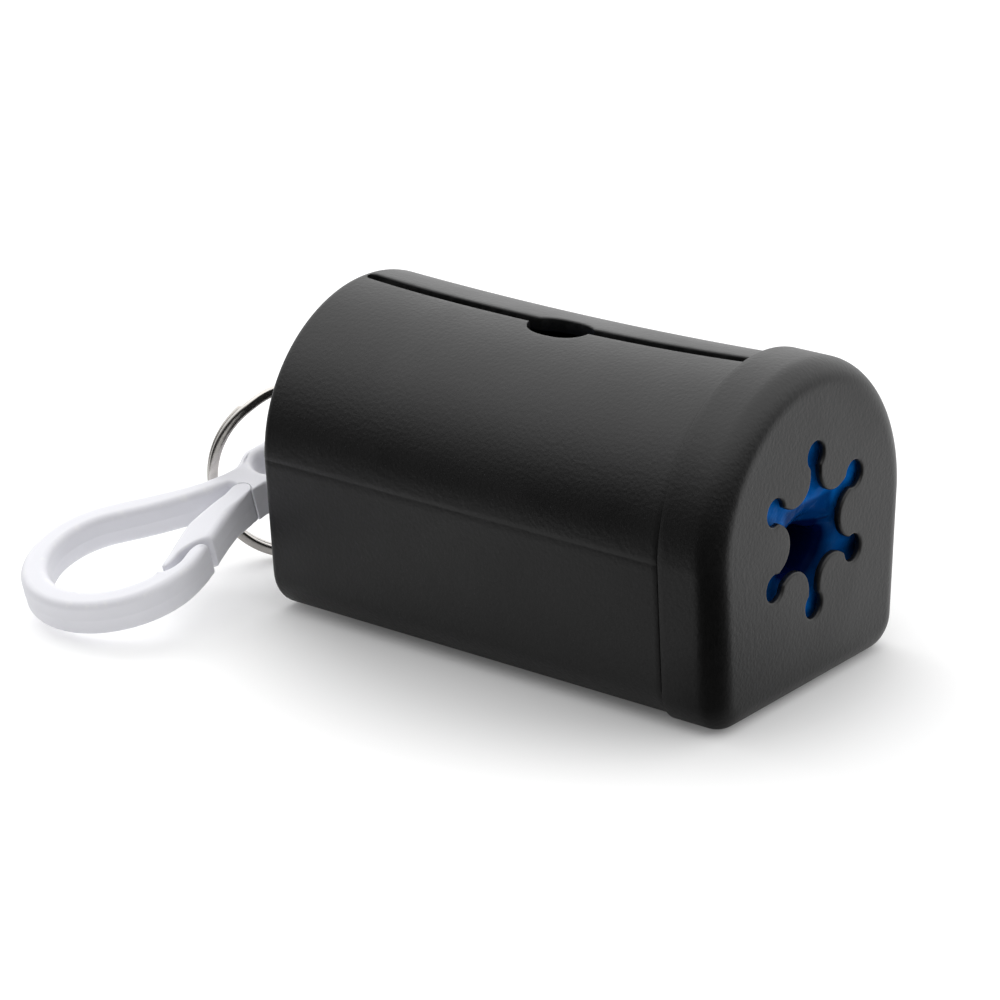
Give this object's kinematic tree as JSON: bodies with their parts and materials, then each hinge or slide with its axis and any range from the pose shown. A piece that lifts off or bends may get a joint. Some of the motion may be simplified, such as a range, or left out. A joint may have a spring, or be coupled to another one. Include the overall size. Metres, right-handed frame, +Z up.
{
  "type": "dog waste bag dispenser",
  "caption": "Arched pocket case for a roll of dog waste bags, with crown slot and notch, pull-off end cap with splash-shaped window, rear split ring and gated hook.",
  "frame": {"origin": "middle of the flat base, half way along case and cap", "axes": "+X along the case towards the end cap, +Z up, -Y the side where the hook lies"},
  "size_m": [0.0911, 0.0593, 0.0389],
  "materials": {
    "black_plastic": "fine satin grain",
    "blue_film": "glossy thin film",
    "nickel": "nickel-plated spring steel",
    "white_plastic": "smooth semi-gloss"
  },
  "bodies": {
    "case": {"case_body": "black_plastic"},
    "cap": {"end_cap": "black_plastic"},
    "roll": {"bag_roll": "blue_film"},
    "ring": {"split_ring": "nickel"},
    "hook": {"hook_frame": "white_plastic"},
    "gate": {"hook_gate": "white_plastic"}
  },
  "joints": [
    {"name": "cap_pull", "type": "slide", "parent": "case", "child": "cap", "axis": [1, 0, 0], "range_m": [0, 0.03]},
    {"name": "roll_turn", "type": "hinge", "parent": "case", "child": "roll", "pos_m": [0, 0, 0.0165], "axis": [1, 0, 0], "continuous": true},
    {"name": "ring_lift", "type": "hinge", "parent": "case", "child": "ring", "pos_m": [-0.04009, 0, 0.0195], "axis": [0, 1, 0], "range_deg": [0, 70]},
    {"name": "hook_swing", "type": "hinge", "parent": "ring", "child": "hook", "pos_m": [-0.04136, -0.00252, 0.01132], "axis": [-0.766, 0.6428, 0], "range_deg": [0, 40]},
    {"name": "gate_open", "type": "hinge", "parent": "hook", "child": "gate", "pos_m": [-0.04124, -0.01301, 0.01001], "axis": [0.0161, 0.2521, -0.9676], "range_deg": [0, 25], "stiffness_Nm_per_rad": 0.05}
  ]
}
